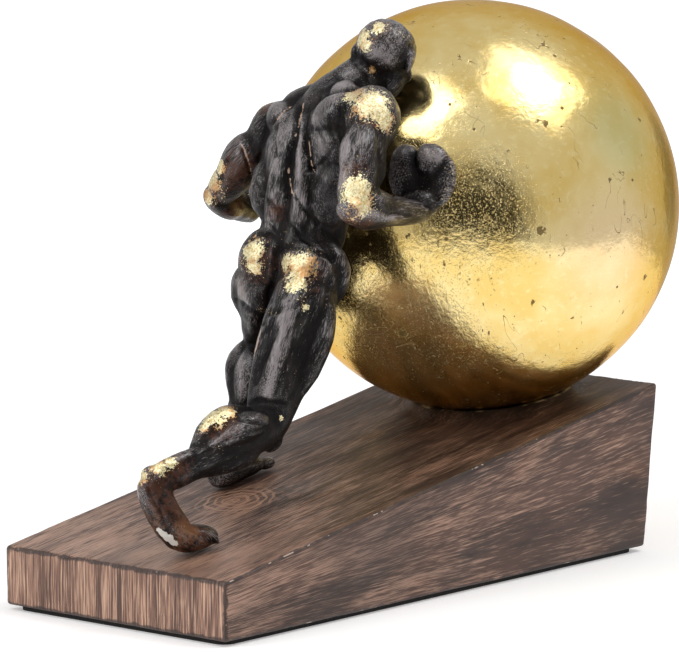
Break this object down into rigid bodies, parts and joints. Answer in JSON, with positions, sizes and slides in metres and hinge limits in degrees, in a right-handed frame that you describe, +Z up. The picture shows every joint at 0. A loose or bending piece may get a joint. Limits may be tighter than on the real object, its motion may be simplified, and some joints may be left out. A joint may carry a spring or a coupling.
{
  "type": "desk statue",
  "caption": "Desk statue of a man pushing a large gilded ball up a sloping plinth painted like walnut.",
  "frame": {"origin": "on the pad's underside, below the middle of the plinth's sloping top", "axes": "+X along the plinth from its low end to its high end, +Y to the left of the pushing man, +Z up"},
  "size_m": [0.2354, 0.131, 0.1767],
  "materials": {
    "walnut_paint": "cast resin painted like walnut, dark with paler streaks along the slope",
    "black_felt": "thin black felt",
    "gold_leaf": "gold leaf on cast resin, glossy, with dents and scratches",
    "dark_bronze": "cast resin in a dark bronze paint, satin, with worn patches of gold leaf"
  },
  "bodies": {
    "root": {"wedge_base": "walnut_paint", "foot_pad": "black_felt", "gilded_ball": "gold_leaf", "figure": "dark_bronze"}
  },
  "joints": []
}
